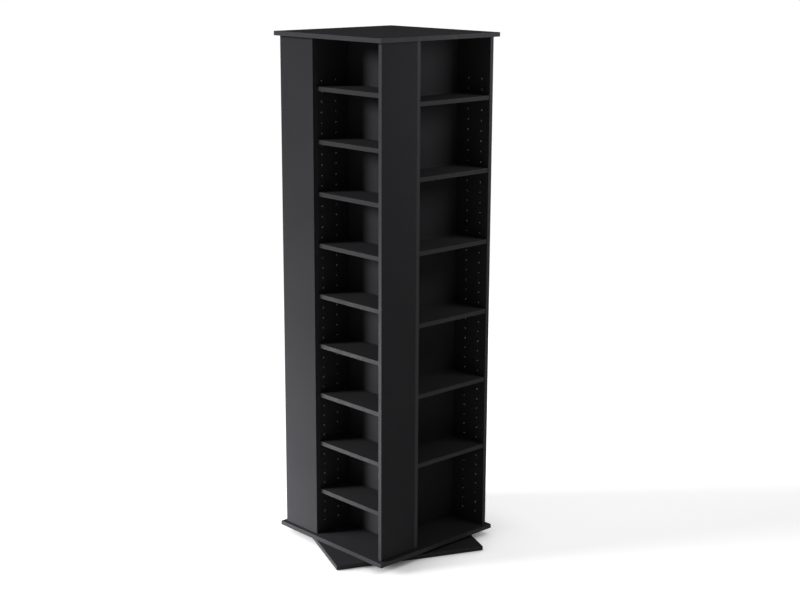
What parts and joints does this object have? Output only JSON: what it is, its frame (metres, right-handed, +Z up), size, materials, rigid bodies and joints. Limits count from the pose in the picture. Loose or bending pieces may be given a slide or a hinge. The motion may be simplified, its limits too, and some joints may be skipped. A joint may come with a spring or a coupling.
{
  "type": "rotating media tower",
  "caption": "Square floor-standing shelving tower on a ball-bearing swivel base, with an open shelved bay on every side, set out as a pinwheel.",
  "frame": {"origin": "on the floor, under the centre of the turning axis", "axes": "+Z up along the turning axis, -Y and -X towards the two faces that the picture shows"},
  "size_m": [0.6016, 0.6016, 1.524],
  "materials": {
    "laminate": "satin black laminate on particle board",
    "shelf_laminate": "satin black laminate on particle board, with steel pegs",
    "zinc_steel": "bright zinc plating",
    "glide_plastic": "matte"
  },
  "bodies": {
    "stand": {"base_plate": "laminate", "base_glide_1": "glide_plastic", "base_glide_2": "glide_plastic", "base_glide_3": "glide_plastic", "base_glide_4": "glide_plastic", "swivel_lower_plate": "zinc_steel", "swivel_lower_screw_1": "zinc_steel", "swivel_lower_screw_2": "zinc_steel", "swivel_lower_screw_3": "zinc_steel", "swivel_lower_screw_4": "zinc_steel"},
    "ball_ring": {"swivel_ball_cage": "zinc_steel"},
    "tower": {"bottom_plate": "laminate", "top_plate": "laminate", "side_panel_front": "laminate", "side_panel_left": "laminate", "side_panel_back": "laminate", "side_panel_right": "laminate", "divider_front": "laminate", "divider_left": "laminate", "divider_back": "laminate", "divider_right": "laminate", "shelf_front_1": "shelf_laminate", "shelf_front_2": "shelf_laminate", "shelf_front_3": "shelf_laminate", "shelf_front_4": "shelf_laminate", "shelf_front_5": "shelf_laminate", "shelf_front_6": "shelf_laminate", "shelf_left_1": "shelf_laminate", "shelf_left_2": "shelf_laminate", "shelf_left_3": "shelf_laminate", "shelf_left_4": "shelf_laminate", "shelf_left_5": "shelf_laminate", "shelf_left_6": "shelf_laminate", "shelf_left_7": "shelf_laminate", "shelf_left_8": "shelf_laminate", "shelf_left_9": "shelf_laminate", "shelf_back_1": "shelf_laminate", "shelf_back_2": "shelf_laminate", "shelf_back_3": "shelf_laminate", "shelf_back_4": "shelf_laminate", "shelf_back_5": "shelf_laminate", "shelf_back_6": "shelf_laminate", "shelf_right_1": "shelf_laminate", "shelf_right_2": "shelf_laminate", "shelf_right_3": "shelf_laminate", "shelf_right_4": "shelf_laminate", "shelf_right_5": "shelf_laminate", "shelf_right_6": "shelf_laminate", "swivel_upper_plate": "zinc_steel", "swivel_upper_screw_1": "zinc_steel", "swivel_upper_screw_2": "zinc_steel", "swivel_upper_screw_3": "zinc_steel", "swivel_upper_screw_4": "zinc_steel"}
  },
  "joints": [
    {"name": "turntable", "type": "hinge", "parent": "stand", "child": "tower", "pos_m": [0, 0, 0.01727], "axis": [0, 0, 1], "continuous": true},
    {"name": "ball_ring_roll", "type": "hinge", "parent": "stand", "child": "ball_ring", "pos_m": [0, 0, 0.01727], "axis": [0, 0, 1], "continuous": true}
  ],
  "couplings": [
    {"joint": "ball_ring_roll", "follows": "turntable", "ratio": 0.5}
  ]
}
